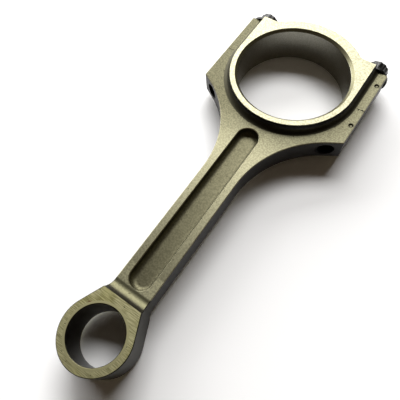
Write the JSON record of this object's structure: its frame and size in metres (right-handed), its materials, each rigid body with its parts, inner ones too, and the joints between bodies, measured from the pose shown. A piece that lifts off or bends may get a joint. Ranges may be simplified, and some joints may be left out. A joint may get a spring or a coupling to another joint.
{
  "type": "connecting rod",
  "caption": "Forged I-section connecting rod with a bolted bearing cap, a bushed small end, and black bolts and washers.",
  "frame": {"origin": "centre of the big-end bore, halfway through its thickness", "axes": "+Z along both bores, +Y along the rod from the small end towards the cap, +X across the rod; the rod lies flat"},
  "size_m": [0.074, 0.1865, 0.0192],
  "materials": {
    "forged_steel": "shot-peened forging with ground faces",
    "bush_bronze": "bored bronze",
    "black_steel": "black phosphate"
  },
  "bodies": {
    "rod": {"rod_body": "forged_steel", "small_end_bush": "bush_bronze"},
    "cap": {"bearing_cap": "forged_steel"},
    "washer_left": {"bolt_washer_left": "black_steel"},
    "bolt_left": {"cap_bolt_left": "black_steel"},
    "washer_right": {"bolt_washer_right": "black_steel"},
    "bolt_right": {"cap_bolt_right": "black_steel"}
  },
  "joints": [
    {"name": "cap_lift_off", "type": "slide", "parent": "rod", "child": "cap", "axis": [0, 1, 0], "range_m": [0, 0.06]},
    {"name": "washer_left_lift", "type": "slide", "parent": "cap", "child": "washer_left", "axis": [0, 1, 0], "range_m": [0, 0.018]},
    {"name": "bolt_left_turn", "type": "hinge", "parent": "washer_left", "child": "bolt_left", "pos_m": [-0.03, 0.02322, 0], "axis": [0, 1, 0], "range_deg": [0, 6500]},
    {"name": "washer_right_lift", "type": "slide", "parent": "cap", "child": "washer_right", "axis": [0, 1, 0], "range_m": [0, 0.018]},
    {"name": "bolt_right_turn", "type": "hinge", "parent": "washer_right", "child": "bolt_right", "pos_m": [0.03, 0.02322, 0], "axis": [0, 1, 0], "range_deg": [0, 6500]}
  ],
  "couplings": [
    {"joint": "bolt_left_turn", "follows": "washer_left_lift", "rad_per_m": 6283.2},
    {"joint": "bolt_right_turn", "follows": "washer_right_lift", "rad_per_m": 6283.2}
  ]
}
